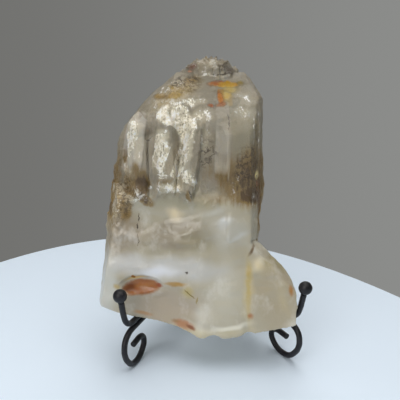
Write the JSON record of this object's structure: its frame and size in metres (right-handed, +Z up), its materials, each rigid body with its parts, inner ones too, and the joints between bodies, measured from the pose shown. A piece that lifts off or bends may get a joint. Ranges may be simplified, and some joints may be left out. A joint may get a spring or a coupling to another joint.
{
  "type": "elestial smoky quartz crystal on a display stand",
  "caption": "Ribbed smoky quartz crystal with a fractured milky base and iron stains, resting upright on a small scrolled stand of black rods.",
  "frame": {"origin": "under the middle of the whole object's box, on the surface that the stand's feet rest on", "axes": "+Z up, -Y towards the front that the crystal's ribs and the scrolls face, +X towards the small side crystal"},
  "size_m": [0.1046, 0.0796, 0.1525],
  "materials": {
    "smoky_quartz": "clear smoky quartz above, milky fractured quartz below, with iron stains",
    "black_iron": "satin black coated iron rod"
  },
  "bodies": {
    "root": {"crystal": "smoky_quartz", "left_leg_rod": "black_iron", "left_support_rod": "black_iron", "left_ball_tip": "black_iron", "right_leg_rod": "black_iron", "right_support_rod": "black_iron", "right_ball_tip": "black_iron", "lower_crossbar": "black_iron", "upper_crossbar": "black_iron"}
  },
  "joints": []
}
